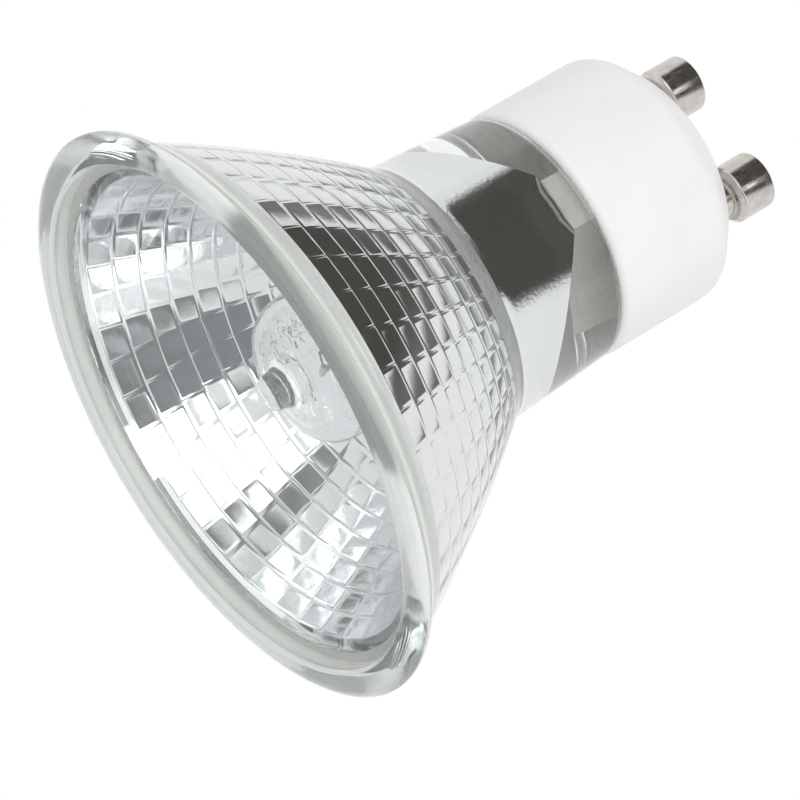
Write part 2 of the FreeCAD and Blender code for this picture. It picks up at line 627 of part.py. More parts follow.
# Contact pins: turned, hollow from the inside, riveted behind the end wall, with a head that
# twists behind the holder's contacts. Each outer lead runs up into its pin.
LEAD_SPAN = "sqrt(Sizes.lead_pitch^2 + Sizes.pin_pitch^2) / 2"
LEAD_TURN = "atan2(-Sizes.lead_pitch; Sizes.pin_pitch)"
RIVET_BACK = f"({SOCKET_END} - Sizes.pin_rivet_thickness)"
for side, sign, half_turn in (("left", "-", "180 deg"), ("right", "", "0 deg")):
    pin = new_body(f"contact_pin_{side}")
    turned(
        pin,
        f"contact_pin_{side}_turning",
        [
            (PIN_BORE, RIVET_BACK),
            ("Sizes.pin_rivet_radius", RIVET_BACK),
            ("Sizes.pin_rivet_radius", SOCKET_END),
            ("Sizes.pin_shank_radius", SOCKET_END),
            ("Sizes.pin_shank_radius", BASE_END),
            ("Sizes.pin_neck_radius", BASE_END),
            ("Sizes.pin_neck_radius", f"{PIN_HEAD} - Sizes.pin_head_bevel"),
            ("Sizes.pin_head_radius - Sizes.pin_head_bevel", f"{PIN_HEAD} - Sizes.pin_head_bevel"),
            ("Sizes.pin_head_radius", PIN_HEAD),
            ("Sizes.pin_head_radius", f"{PIN_END} - Sizes.pin_head_round"),
            ("Sizes.pin_head_radius - Sizes.pin_head_round", PIN_END),
            ("0", PIN_END),
            ("0", PIN_BORE_END),
            (PIN_BORE, PIN_BORE_END),
        ],
        {9: ("Sizes.pin_head_round", True)},
    )
    pin.setExpression("Placement.Base.x", f"{sign}Sizes.pin_pitch / 2")

    lead = wire(
        f"outer_lead_{side}",
        "Sizes.outer_lead_radius",
        [
            ("0", FOIL_BACK),
            ("0", f"{PINCH_END} + 2 * Sizes.outer_lead_radius"),
            (LEAD_SPAN, f"{RIVET_BACK} - 2 * Sizes.outer_lead_radius"),
            (LEAD_SPAN, PIN_BORE_END),
        ],
        "XZ_Plane",
    )
    lead.Placement.Rotation = FreeCAD.Rotation(FreeCAD.Vector(0, 0, 1), 1)
    lead.setExpression("Placement.Rotation.Angle", f"{half_turn} + {LEAD_TURN}")
    lead.setExpression("Placement.Base.y", f"{sign}Sizes.lead_pitch / 2")

doc.recompute()

SUB_PARTS = [
    "front_glass",
    "front_seal",
    "reflector",
    "quartz_capsule",
    "filament",
    "inner_lead_short",
    "inner_lead_long",
    "seal_foil_left",
    "seal_foil_right",
    "pinch_cement",
    "outer_lead_left",
    "outer_lead_right",
    "ceramic_base",
    "base_cement",
    "contact_pin_left",
    "contact_pin_right",
]
for item in doc.Objects:
    if "Invalid" in item.State or "Error" in item.State:
        raise RuntimeError(f"{item.Name} failed: {item.State}")

shapes = {}
for label in SUB_PARTS:
    shape = doc.getObjectsByLabel(label)[0].Shape
    if shape.isNull() or not shape.isValid() or len(shape.Solids) != 1:
        raise RuntimeError(f"{label} is not one valid solid")
    shapes[label] = shape

os.makedirs("parts", exist_ok=True)
for label, shape in shapes.items():
    shape.exportStep(f"parts/{label}.step")
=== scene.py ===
import bmesh
import bpy
import math
from mathutils import Matrix, Quaternion, Vector


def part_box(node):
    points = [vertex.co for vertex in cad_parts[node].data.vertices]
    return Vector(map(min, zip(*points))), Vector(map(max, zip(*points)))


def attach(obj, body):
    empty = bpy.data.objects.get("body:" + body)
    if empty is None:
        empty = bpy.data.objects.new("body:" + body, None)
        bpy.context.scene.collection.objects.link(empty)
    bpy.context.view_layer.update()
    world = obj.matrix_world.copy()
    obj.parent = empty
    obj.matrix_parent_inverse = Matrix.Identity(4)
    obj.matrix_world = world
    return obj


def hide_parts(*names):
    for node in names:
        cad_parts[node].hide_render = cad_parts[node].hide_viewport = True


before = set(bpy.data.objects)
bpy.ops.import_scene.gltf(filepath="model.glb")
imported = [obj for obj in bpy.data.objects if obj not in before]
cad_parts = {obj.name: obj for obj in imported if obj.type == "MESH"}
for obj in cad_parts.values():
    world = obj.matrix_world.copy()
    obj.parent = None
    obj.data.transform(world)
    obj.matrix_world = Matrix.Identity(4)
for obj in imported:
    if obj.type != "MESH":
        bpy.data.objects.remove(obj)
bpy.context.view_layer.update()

# Pressed reflector: one piece of clear glass, pressed in a mould, with a rounded rim, a curved
# bowl, a drafted neck and a spigot. The inside of the bowl and of the neck is coated with
# aluminium, so the mirror's facets show from in front and, through the glass, from behind.
MM = 0.001
hair = 0.001 * MM
near = 0.01 * MM
glass_low, glass_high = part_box("front_glass")
seal_low, seal_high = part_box("front_seal")
reflector_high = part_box("reflector")[1]
slot_low, slot_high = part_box("pinch_cement")
base_low, base_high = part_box("ceramic_base")

seat = glass_high.z
rebate = seal_high.x
rim = reflector_high.x
shoulder = base_low.z
rim_crown = 2.6 * MM
rim_edge_depth = 0.7 * MM
rim_edge = 0.2 * MM
rim_edge_round = 0.08 * MM
rim_inner_bevel = 0.3 * MM
bowl_front = Vector((rim - 1.8 * MM, 2.7 * MM))
bowl_back = Vector((12.19 * MM, 20.6 * MM))
bowl_crown = 100 * MM
neck_front = Vector((11.74 * MM, 21.6 * MM))
neck_back = 11.04 * MM
neck_round = 0.6 * MM
spigot = 8.59 * MM
soft_edge = 0.25 * MM
contact = 0.02 * MM
glass_sides = 192
glass_crease = math.radians(24)


def select_verts(test):
    """Selects the vertices whose place passes the test."""
    bpy.ops.mesh.select_mode(type="VERT")
    bpy.ops.mesh.select_all(action="DESELECT")
    mesh = bmesh.from_edit_mesh(bpy.context.object.data)
    for vert in mesh.verts:
        vert.select_set(test(vert.co))
    mesh.select_flush_mode()
    bmesh.update_edit_mesh(bpy.context.object.data)


def select_faces(test):
    """Selects the faces whose middle and normal pass the test."""
    bpy.ops.mesh.select_mode(type="FACE")
    bpy.ops.mesh.select_all(action="DESELECT")
    mesh = bmesh.from_edit_mesh(bpy.context.object.data)
    for face in mesh.faces:
        face.select_set(test(face.calc_center_median(), face.normal))
    bmesh.update_edit_mesh(bpy.context.object.data)


def radius_of(place):
    """How far a place lies from the lamp's axis."""
    return math.hypot(place.x, place.y)


def turned(name, corners, sides, axis_x=0.0, round_steps=8):
    """A turned piece: a half section drawn from corner to corner, each (radius, height, round),
    then spun about the upright axis at axis_x."""
    bpy.ops.object.select_all(action="DESELECT")
    bpy.ops.mesh.primitive_plane_add(size=MM)
    piece = bpy.context.object
    piece.name = name
    piece.data.name = name
    bpy.ops.object.mode_set(mode="EDIT")
    bpy.ops.mesh.select_mode(type="VERT")
    bpy.ops.mesh.merge(type="CENTER")
    bpy.ops.transform.translate(value=(axis_x + corners[0][0], 0, corners[0][1]))
    for (radius, height, _), (next_radius, next_height, _) in zip(corners, corners[1:]):
        step = (next_radius - radius, 0, next_height - height)
        bpy.ops.mesh.extrude_region_move(TRANSFORM_OT_translate={"value": step})
    bpy.ops.mesh.select_all(action="SELECT")
    bpy.ops.mesh.remove_doubles(threshold=hair)
    for radius, height, rounding in corners:
        if rounding:
            corner = Vector((axis_x + radius, 0, height))
            select_verts(lambda place: (place - corner).length < hair)
            bpy.ops.mesh.bevel(offset=rounding, segments=round_steps, affect="VERTICES")
    bpy.ops.mesh.select_all(action="SELECT")
    bpy.ops.mesh.spin(steps=sides, angle=math.tau, center=(axis_x, 0, 0), axis=(0, 0, 1))
    bpy.ops.mesh.select_all(action="SELECT")
    bpy.ops.mesh.remove_doubles(threshold=hair)
    bpy.ops.mesh.delete_loose()
    bpy.ops.mesh.select_all(action="SELECT")
    bpy.ops.mesh.normals_make_consistent(inside=False)
    bpy.ops.object.mode_set(mode="OBJECT")
    return piece


# The rim's round and the bowl's long curve are each drawn as one corner, where the tangents of
# its two ends meet, and then rounded almost up to those ends.
rim_round_reach = 0.9
bowl_round_reach = 0.99
rim_turn = math.acos(1 - rim_edge_depth / rim_crown)
rim_tangent = rim_crown * math.tan(rim_turn / 2)
bowl_half = (bowl_back - bowl_front) / 2
bowl_lean = math.asin(bowl_half.length / bowl_crown)
bowl_outward = Vector((bowl_half.y, -bowl_half.x)).normalized()
bowl_corner = bowl_front + bowl_half + bowl_outward * bowl_half.length * math.tan(bowl_lean)
bowl_round = bowl_round_reach * bowl_half.length / math.cos(bowl_lean)
reflector = turned(
    "pressed_reflector",
    [
        (rebate, seat, 0),
        (rebate, rim_inner_bevel, 0),
        (rebate + rim_inner_bevel, 0, 0),
        (rim - rim_tangent * math.cos(rim_turn), 0, rim_round_reach * rim_tangent),
        (rim, rim_edge_depth, rim_edge_round),
        (rim, rim_edge_depth + rim_edge, rim_edge_round),
        (bowl_front.x, bowl_front.y, 0),
        (bowl_corner.x, bowl_corner.y, bowl_round),
        (bowl_back.x, bowl_back.y, soft_edge),
        (neck_front.x, neck_front.y, soft_edge),
        (neck_back, shoulder, neck_round),
        (spigot + contact, shoulder, 0),
        (spigot + contact, reflector_high.z, 0),
    ],
    glass_sides,
)

# The mirror's facets: nine rings of forty faces, each sunk a little between low ridges and
# slightly crowned. Each ring is turned a little against the one before.
facet_columns = 40
facet_rows = 9
row_taper = 0.156
row_swirl = math.radians(1.2)
ridge = 0.04 * MM
ridge_slope = 0.06 * MM
facet_sink = 0.02 * MM
facet_least_area = 1.0 * MM**2
crown_step = 0.2 * MM
crown_slopes = (0.055, 0.035, 0.015)
mirror_front = rebate - 1.7 * MM
throat = Vector((11.09 * MM, 19.1 * MM))
bore_front = Vector((9.04 * MM, 21.3 * MM))
bore_back = 8.34 * MM
roof_back = slot_low.z
roof_front = roof_back - 5.5 * MM


def mirror_radius(depth):
    """The radius of the mirror's parabola at a share of its depth."""
    return math.sqrt(mirror_front**2 - (mirror_front**2 - throat.x**2) * depth)


def ring_place(row):
    """Radius and height of the corners between two rings of facets."""
    share = row / facet_rows
    depth = share * (1 + row_taper * (1 - share))
    return Vector((mirror_radius(depth), seat + (throat.y - seat) * depth))


def extrude_ring(start, end, turn=0.0):
    """Draws the selected ring of edges on to another radius and height."""
    rise = (0, 0, end.y - start.y)
    scale = end.x / start.x
    bpy.ops.mesh.extrude_region_move(TRANSFORM_OT_translate={"value": rise})
    bpy.ops.transform.resize(value=(scale, scale, 1), center_override=(0, 0, 0))
    if turn:
        bpy.ops.transform.rotate(value=-turn, orient_axis="Z", center_override=(0, 0, 0))


bpy.ops.object.select_all(action="DESELECT")
bpy.ops.mesh.primitive_circle_add(vertices=facet_columns, radius=mirror_front)
mirror = bpy.context.object
bpy.ops.object.mode_set(mode="EDIT")
bpy.ops.mesh.bevel(offset=ridge / 2, segments=1, affect="VERTICES")
bpy.ops.mesh.select_all(action="SELECT")
bpy.ops.transform.translate(value=(0, 0, seat))
drawn = ring_place(0)
for row in range(facet_rows):
    front, back = ring_place(row), ring_place(row + 1)
    inset = (back - front) * (ridge / 2 / (back - front).length)
    if row:
        extrude_ring(drawn, front + inset, row_swirl)
        drawn = front + inset
    extrude_ring(drawn, back - inset)
    drawn = back - inset
bpy.ops.mesh.select_all(action="SELECT")
bpy.ops.mesh.normals_make_consistent(inside=True)
bpy.ops.mesh.select_mode(type="FACE")
bpy.ops.mesh.select_all(action="DESELECT")
edited = bmesh.from_edit_mesh(mirror.data)
for face in edited.faces:
    face.select_set(face.calc_area() > facet_least_area)
bmesh.update_edit_mesh(mirror.data)
bpy.ops.mesh.inset(thickness=ridge_slope, depth=-facet_sink, use_individual=True)
for slope in crown_slopes:
    bpy.ops.mesh.inset(thickness=crown_step, depth=slope * crown_step, use_individual=True)

# Behind the facets come a smooth throat and the neck's bore, which two inclined planes close
# down on the slot for the capsule's flat seal. The bore's end is rounded, as the plunger is.
bore_end_round = 1.3 * MM
bore_end_steps = 6
slot_half = slot_high.x - contact
slot_edge = slot_high.y - contact
roof_slope = Vector((roof_back - roof_front, 0, bore_front.x - slot_half)).normalized()
at_roof_end = roof_back - near
wall_steepness = 0.3
end_steepness = 0.95

select_verts(lambda place: place.z > drawn.y - hair)
bpy.ops.mesh.select_mode(type="EDGE")
extrude_ring(drawn, throat)
bpy.ops.mesh.remove_doubles(threshold=2 * ridge)
extrude_ring(throat, bore_front)
extrude_ring(bore_front, Vector((bore_back, roof_back)))
bpy.ops.mesh.edge_face_add()
for side in (1, -1):
    select_faces(lambda middle, normal: middle.z > bore_front.y)
    bpy.ops.mesh.bisect(
        plane_co=(side * slot_half, 0, roof_back),
        plane_no=(side * roof_slope.x, 0, roof_slope.z),
        use_fill=True,
        clear_outer=True,
        threshold=hair / 10,
    )
bpy.ops.mesh.select_mode(type="EDGE")
bpy.ops.mesh.select_all(action="DESELECT")
edited = bmesh.from_edit_mesh(mirror.data)
for edge in edited.edges:
    steepness = sorted(abs(face.normal.z) for face in edge.link_faces)
    wall_meets_end = steepness[0] < wall_steepness and steepness[-1] > end_steepness
    edge.select_set(edge.verts[0].co.z > bore_front.y and wall_meets_end)
bmesh.update_edit_mesh(mirror.data)
bpy.ops.mesh.bevel(offset=bore_end_round, segments=bore_end_steps)
for side in (1, -1):
    select_faces(lambda middle, normal: middle.z > at_roof_end)
    bpy.ops.mesh.bisect(
        plane_co=(0, side * slot_edge, 0), plane_no=(0, 1, 0), threshold=hair / 10
    )
select_faces(lambda middle, normal: middle.z > at_roof_end and abs(middle.y) < slot_edge / 2)
bpy.ops.mesh.extrude_region_move(
    TRANSFORM_OT_translate={"value": (0, 0, reflector_high.z - roof_back)}
)
bpy.ops.mesh.delete(type="FACE")
bpy.ops.object.mode_set(mode="OBJECT")

# The outer and the inner skin are one piece of glass: they meet at the ledge that carries the
# front glass and at the spigot's end, where the slot opens.
ledge_end = mirror_front * math.cos(math.pi / facet_columns) - 10 * near
reflector.select_set(True)
bpy.context.view_layer.objects.active = reflector
bpy.ops.object.join()
bpy.ops.object.mode_set(mode="EDIT")


def on_ledge(place):
    """True for the corners of the flat ledge between the rebate and the mirror."""
    return abs(place.z - seat) < near and ledge_end < radius_of(place) < rebate + near


for at_opening in (on_ledge, lambda place: place.z > reflector_high.z - near):
    select_verts(at_opening)
    bpy.ops.mesh.select_mode(type="EDGE")
    bpy.ops.mesh.fill(use_beauty=True)
bpy.ops.mesh.select_all(action="SELECT")
bpy.ops.mesh.normals_make_consistent(inside=False)
bpy.ops.object.mode_set(mode="OBJECT")
bpy.ops.object.shade_smooth_by_angle(angle=glass_crease)

# The glass is clear in the bowl. In the thick rim it looks a little cloudy, with green and cream
# streaks that run round it, and its shoulder has the rough skin that the base is set on.
bowl_tint = (0.985, 0.99, 0.985, 1)
streak_green = (0.7, 0.8, 0.78)
streak_grey = (0.87, 0.89, 0.87)
streak_cream = (0.95, 0.935, 0.875)
streak_width = 0.55 * MM
deep_tint = (0.66, 0.75, 0.715, 1)
deep_density = 12
rim_clearness = 0.78
rim_roughness = 0.09
seat_roughness = 0.3
rim_blend = 0.4 * MM
seat_margin = 0.1 * MM
seat_blend = 0.5 * MM
tint_blend = 0.6 * MM
glass_index = 1.51


def new_material(name, **settings):
    """A material with its shader's own sockets set, and the node that gives object coordinates."""
    material = bpy.data.materials.new(name)
    material.use_nodes = True
    shader = material.node_tree.nodes["Principled BSDF"]
    for socket, value in settings.items():
        shader.inputs[socket.replace("_", " ")].default_value = value
    place = material.node_tree.nodes.new("ShaderNodeTexCoord")
    return material, shader, place.outputs["Object"]


def add_node(owner, kind, inputs=None, **settings):
    """Adds a node to a material or world, with its settings, its values and its links."""
    node = owner.node_tree.nodes.new(kind)
    for setting, value in settings.items():
        setattr(node, setting, value)
    for socket, value in (inputs or {}).items():
        entry = node.inputs[socket]
        if isinstance(value, bpy.types.NodeSocket):
            owner.node_tree.links.new(value, entry)
        else:
            entry.default_value = value
    return node


def combine(owner, operation, first, second=0.0):
    """Works out one value from one or two others, by MAXIMUM, MULTIPLY and the like."""
    inputs = {0: first, 1: second}
    return add_node(owner, "ShaderNodeMath", inputs, operation=operation).outputs[0]


def fade(material, value, start, end, low=0.0, high=1.0, curve="LINEAR"):
    """Maps a value to low at the start and high at the end, and holds it beyond them."""
    inputs = {
        "Value": value, "From Min": start, "From Max": end, "To Min": low, "To Max": high
    }
    node = add_node(material, "ShaderNodeMapRange", inputs, interpolation_type=curve)
    return node.outputs["Result"]


def noise(material, place, size, detail=3.0, stretch=(1, 1, 1)):
    """Noise whose grains measure about that size, longer along the axes where stretch is large."""
    scale = [1 / (size * s) for s in stretch]
    mapped = add_node(material, "ShaderNodeMapping", {"Vector": place, "Scale": scale})
    inputs = {"Vector": mapped.outputs[0], "Scale": 1.0, "Detail": detail}
    return add_node(material, "ShaderNodeTexNoise", inputs).outputs["Fac"]


def ramp(material, value, *stops):
    """Maps a value to colours, or to greys, each stop a (position, colour or level)."""
    node = add_node(material, "ShaderNodeValToRGB", {"Fac": value})
    band = node.color_ramp
    while len(band.elements) < len(stops):
        band.elements.new(0.5)
    for element, (position, colour) in zip(band.elements, stops):
        element.position = position
        element.color = (*colour, 1) if isinstance(colour, tuple) else (colour, colour, colour, 1)
    return node.outputs["Color"]


def wire_up(material, value, socket):
    """Lets a value drive a socket."""
    material.node_tree.links.new(value, socket)


def vary(material, shader, socket, pattern, low, high, start=0.3, end=0.7):
    """Lets a socket of the shader go from low to high as the pattern goes from start to end."""
    wire_up(material, ramp(material, pattern, (start, low), (end, high)), shader.inputs[socket])


def bump(material, shader, height, depth):
    """Raises the surface by that depth where the height is 1."""
    inputs = {"Height": height, "Distance": depth, "Strength": 1.0}
    node = add_node(material, "ShaderNodeBump", inputs)
    wire_up(material, node.outputs["Normal"], shader.inputs["Normal"])


def absorb(material, colour, density):
    """Tints what is seen through a thick piece."""
    inputs = {"Color": colour, "Density": density}
    volume = add_node(material, "ShaderNodeVolumeAbsorption", inputs)
    output = material.node_tree.nodes["Material Output"]
    wire_up(material, volume.outputs["Volume"], output.inputs["Volume"])


pressed_glass, shader, place = new_material("pressed_glass", IOR=glass_index)
height = add_node(pressed_glass, "ShaderNodeSeparateXYZ", {"Vector": place}).outputs["Z"]
bowl_skin = ramp(pressed_glass, noise(pressed_glass, place, 3 * MM), (0.35, 0.0), (0.8, 0.03))
rim_skin = fade(
    pressed_glass,
    height,
    bowl_front.y + rim_blend,
    bowl_front.y - rim_blend,
    high=rim_roughness,
)
seat_skin = fade(
    pressed_glass,
    height,
    shoulder - seat_blend,
    shoulder - seat_margin,
    high=seat_roughness,
)
roughest = combine(pressed_glass, "MAXIMUM", bowl_skin, rim_skin)
roughest = combine(pressed_glass, "MAXIMUM", roughest, seat_skin)
wire_up(pressed_glass, roughest, shader.inputs["Roughness"])
bump(pressed_glass, shader, noise(pressed_glass, place, 4 * MM, detail=1.0), 0.02 * MM)
in_rim = fade(pressed_glass, height, bowl_front.y + tint_blend, bowl_front.y - tint_blend)
across = add_node(
    pressed_glass, "ShaderNodeVectorMath", {0: place, 1: (1, 1, 0)}, operation="MULTIPLY"
).outputs["Vector"]
radius = add_node(
    pressed_glass, "ShaderNodeVectorMath", {0: across}, operation="LENGTH"
).outputs["Value"]
ring = add_node(pressed_glass, "ShaderNodeCombineXYZ", {"X": radius, "Z": height}).outputs["Vector"]
streak_tint = ramp(
    pressed_glass,
    noise(pressed_glass, ring, streak_width),
    (0.35, streak_green),
    (0.5, streak_grey),
    (0.65, streak_cream),
)
mix_share, mix_first, mix_second = 0, 6, 7
mix_colour = 2
tint = add_node(
    pressed_glass,
    "ShaderNodeMix",
    {mix_share: in_rim, mix_first: bowl_tint, mix_second: streak_tint},
    data_type="RGBA",
).outputs[mix_colour]
wire_up(pressed_glass, tint, shader.inputs["Base Color"])
clearness = fade(pressed_glass, in_rim, 0, 1, low=1.0, high=rim_clearness)
wire_up(pressed_glass, clearness, shader.inputs["Transmission Weight"])
absorb(pressed_glass, deep_tint, deep_density)

# The coating is aluminium, evaporated on the facets and in the bore. The throat ring and the two
# planes stay bare, with the grainy skin that the plunger leaves on the glass; their grey-green
# colour is painted shade, standing for the dim inside of the neck seen through them.
coat_colour = (0.77, 0.78, 0.795, 1)
# The two tones of painted shade on the bare glass.
painted_shade_dark = (0.5, 0.54, 0.5)
painted_shade_pale = (0.74, 0.77, 0.73)
bowl_grain = 0.2
plane_lean = 0.5
plane_rise = 0.7

mirror_coat, shader, place = new_material("mirror_coat", Base_Color=coat_colour, Metallic=1.0)
specks = noise(mirror_coat, place, 0.18 * MM, detail=2.0)
vary(mirror_coat, shader, "Roughness", specks, 0.05, 0.09, end=0.75)
height = add_node(mirror_coat, "ShaderNodeSeparateXYZ", {"Vector": place}).outputs["Z"]
in_neck = fade(mirror_coat, height, throat.y, bore_front.y, low=bowl_grain)
grain = noise(mirror_coat, place, 0.3 * MM, detail=4.0)
bump(mirror_coat, shader, combine(mirror_coat, "MULTIPLY", grain, in_neck), 0.006 * MM)

# Bare glass: its mottled grey-green base colour is painted shade of the neck's dim inside.
shaded_raw_glass, shader, place = new_material("shaded_raw_glass", Transmission_Weight=0.45, IOR=glass_index)
mottle = noise(shaded_raw_glass, place, 1.5 * MM, detail=4.0)
vary(shaded_raw_glass, shader, "Base Color", mottle, painted_shade_dark, painted_shade_pale)
vary(shaded_raw_glass, shader, "Roughness", mottle, 0.3, 0.5)
bump(shaded_raw_glass, shader, noise(shaded_raw_glass, place, 0.6 * MM), 0.04 * MM)


def on_mirror(place):
    """True for a place on the inside, from the facets to the end of the neck's bore."""
    if place.z > throat.y:
        return radius_of(place) < throat.x + near and place.z < at_roof_end
    depth = (place.z - seat) / (throat.y - seat)
    reach = mirror_radius(max(depth, 0))
    return place.z > seat + hair and radius_of(place) < reach + 10 * near


def is_bare(middle, normal):
    """True for the faces of the throat ring and of the two planes that close the bore."""
    on_plane = abs(normal.x) > plane_lean and abs(normal.z) > plane_rise
    in_throat = throat.y < middle.z < bore_front.y
    return on_mirror(middle) and (on_plane or in_throat)


for material in (pressed_glass, mirror_coat, shaded_raw_glass):
    reflector.data.materials.append(material)
bpy.ops.object.mode_set(mode="EDIT")
select_faces(lambda middle, normal: on_mirror(middle))
reflector.active_material_index = 1
bpy.ops.object.material_slot_assign()
select_faces(is_bare)
reflector.active_material_index = 2
bpy.ops.object.material_slot_assign()
bpy.ops.object.mode_set(mode="OBJECT")
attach(reflector, "root")
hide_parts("reflector")

# Quartz capsule: a blown tube with a drawn exhaust tip at its front, pressed flat at its back
# round the foils that seal it. It stands in the neck's slot on its flat seal.
capsule_low, capsule_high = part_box("quartz_capsule")
capsule_wall = 1.0 * MM
dome_round = 3.2 * MM
tip_radius = 1.6 * MM
tip_round = 1.2 * MM
tip_fillet = 1.0 * MM
tip_root = capsule_low.z + 2.3 * MM
capsule_end = tip_root + 15.2 * MM
tube = capsule_high.y
pinch_front = capsule_end - capsule_wall
pinch_half = 6.3 * MM
pinch_rail = 1.6 * MM
pinch_web = 1.2 * MM
pinch_thickness = slot_high.x - 0.4 * MM
pinch_round = 0.25 * MM
quartz_sides = 96
quartz_crease = math.radians(28)
quartz_tint = (0.985, 0.99, 0.995, 1)

capsule = turned(
    "quartz_bulb",
    [
        (0, capsule_low.z, 0),
        (tip_radius, capsule_low.z, tip_round),
        (tip_radius, tip_root, tip_fillet),
        (tube, tip_root, dome_round),
        (tube, capsule_end, dome_round),
        (0, capsule_end, 0),
    ],
    quartz_sides,
)
gas_space = turned(
    "gas_space",
    [
        (0, tip_root + capsule_wall, 0),
        (tube - capsule_wall, tip_root + capsule_wall, dome_round - capsule_wall),
        (tube - capsule_wall, capsule_end - capsule_wall, dome_round - capsule_wall),
        (0, capsule_end - capsule_wall, 0),
    ],
    quartz_sides,
)


def apply_modifier(piece, kind, name, **settings):
    """Gives a piece a modifier and applies it to the mesh."""
    bpy.ops.object.select_all(action="DESELECT")
    piece.select_set(True)
    bpy.context.view_layer.objects.active = piece
    modifier = piece.modifiers.new(name, kind)
    for setting, value in settings.items():
        setattr(modifier, setting, value)
    bpy.ops.object.modifier_apply(modifier=name)


bpy.ops.object.select_all(action="DESELECT")
bpy.ops.mesh.primitive_cube_add(size=1.0)
pinch = bpy.context.object
bpy.ops.object.mode_set(mode="EDIT")
pinch_size = (2 * pinch_thickness, 2 * pinch_half, capsule_high.z - pinch_front)
bpy.ops.transform.resize(value=pinch_size)
bpy.ops.transform.translate(value=(0, 0, (capsule_high.z + pinch_front) / 2))
for side in (1, -1):
    bpy.ops.mesh.select_all(action="SELECT")
    rail_edge = side * (pinch_half - pinch_rail)
    bpy.ops.mesh.bisect(plane_co=(0, rail_edge, 0), plane_no=(0, 1, 0))
for side in (1, -1):
    select_faces(lambda middle, normal: side * normal.x > 0.9 and abs(middle.y) < MM)
    web_scale = (pinch_web / pinch_thickness, 1, 1)
    bpy.ops.transform.resize(value=web_scale, center_override=(0, 0, 0))
bpy.ops.mesh.select_mode(type="EDGE")
bpy.ops.mesh.select_all(action="SELECT")
bpy.ops.mesh.bevel(offset=pinch_round, segments=3)
bpy.ops.object.mode_set(mode="OBJECT")
apply_modifier(capsule, "BOOLEAN", "pinch", operation="UNION", object=pinch, solver="EXACT")
apply_modifier(
    capsule, "BOOLEAN", "gas_space", operation="DIFFERENCE", object=gas_space, solver="EXACT"
)
bpy.data.objects.remove(pinch)
bpy.data.objects.remove(gas_space)
bpy.ops.object.shade_smooth_by_angle(angle=quartz_crease)

quartz, shader, place = new_material(
    "fused_quartz", Base_Color=quartz_tint, Transmission_Weight=1.0, IOR=1.46
)
vary(quartz, shader, "Roughness", noise(quartz, place, 2 * MM), 0.0, 0.02, 0.4, 0.8)
bump(quartz, shader, noise(quartz, place, 1.6 * MM, detail=2.0), 0.06 * MM)
capsule.data.materials.clear()
capsule.data.materials.append(quartz)
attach(capsule, "root")
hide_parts("quartz_capsule")

# Filament, leads and foils: drawn tungsten, molybdenum and nickel wire and rolled foil, welded end
# to end and sealed in the quartz. Cement, mixed wet and baked, holds the pinch and the base.
tungsten_dark, tungsten_pale = (0.25, 0.25, 0.26), (0.42, 0.42, 0.43)
molybdenum_dark, molybdenum_pale = (0.5, 0.5, 0.51), (0.64, 0.64, 0.65)
lead_dark, lead_pale = (0.6, 0.58, 0.55), (0.72, 0.7, 0.67)
cement_dark, cement_pale = (0.86, 0.85, 0.81), (0.95, 0.945, 0.92)

tungsten, shader, place = new_material("tungsten_wire", Metallic=1.0)
scale_spots = noise(tungsten, place, 0.15 * MM)
vary(tungsten, shader, "Base Color", scale_spots, tungsten_dark, tungsten_pale)
vary(tungsten, shader, "Roughness", noise(tungsten, place, 0.1 * MM), 0.3, 0.5, 0.2, 0.8)

molybdenum, shader, place = new_material("molybdenum", Metallic=1.0)
draw_lines = noise(molybdenum, place, 0.2 * MM, stretch=(1, 1, 6))
vary(molybdenum, shader, "Base Color", draw_lines, molybdenum_dark, molybdenum_pale)
fine_lines = noise(molybdenum, place, 0.1 * MM, stretch=(1, 1, 8))
vary(molybdenum, shader, "Roughness", fine_lines, 0.2, 0.4, 0.2, 0.8)

lead_wire, shader, place = new_material("nickel_lead", Metallic=1.0)
vary(lead_wire, shader, "Base Color", noise(lead_wire, place, 0.2 * MM), lead_dark, lead_pale)
vary(lead_wire, shader, "Roughness", noise(lead_wire, place, 0.15 * MM), 0.25, 0.45, 0.2, 0.8)

cement, shader, place = new_material("lamp_cement", Roughness=0.9)
crumbs = noise(cement, place, 0.5 * MM, detail=6)
vary(cement, shader, "Base Color", crumbs, cement_dark, cement_pale)
bump(cement, shader, noise(cement, place, 0.25 * MM, detail=6), 0.05 * MM)

for material, nodes in (
    (tungsten, ["filament"]),
    (molybdenum, ["inner_lead_short", "inner_lead_long", "seal_foil_left", "seal_foil_right"]),
    (lead_wire, ["outer_lead_left", "outer_lead_right"]),
    (cement, ["pinch_cement", "base_cement"]),
):
    for node in nodes:
        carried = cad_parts[node]
        carried.data.materials.clear()
        carried.data.materials.append(material)

# Ceramic base: a round steatite moulding with a satin white glaze, cemented over the spigot.
# Its thick end wall is drilled for the pins, and its edges are soft from moulding and firing.
socket_end = base_high.z - 4.0 * MM
socket = 9.09 * MM
socket_edge_round = 0.15 * MM
socket_fillet = 0.4 * MM
base_radius = base_high.x
base_front = shoulder - contact
base_front_round = 0.9 * MM
base_bevel = 2.5 * MM
base_bevel_round = 0.6 * MM
base_sides = 160
base_crease = math.radians(30)
pin_low, pin_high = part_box("contact_pin_right")
pin_x = (pin_low.x + pin_high.x) / 2
pin_shank = 1.25 * MM
pin_hole_sides = 64
glaze_deep, glaze_pale = (0.875, 0.875, 0.865), (0.9, 0.9, 0.893)

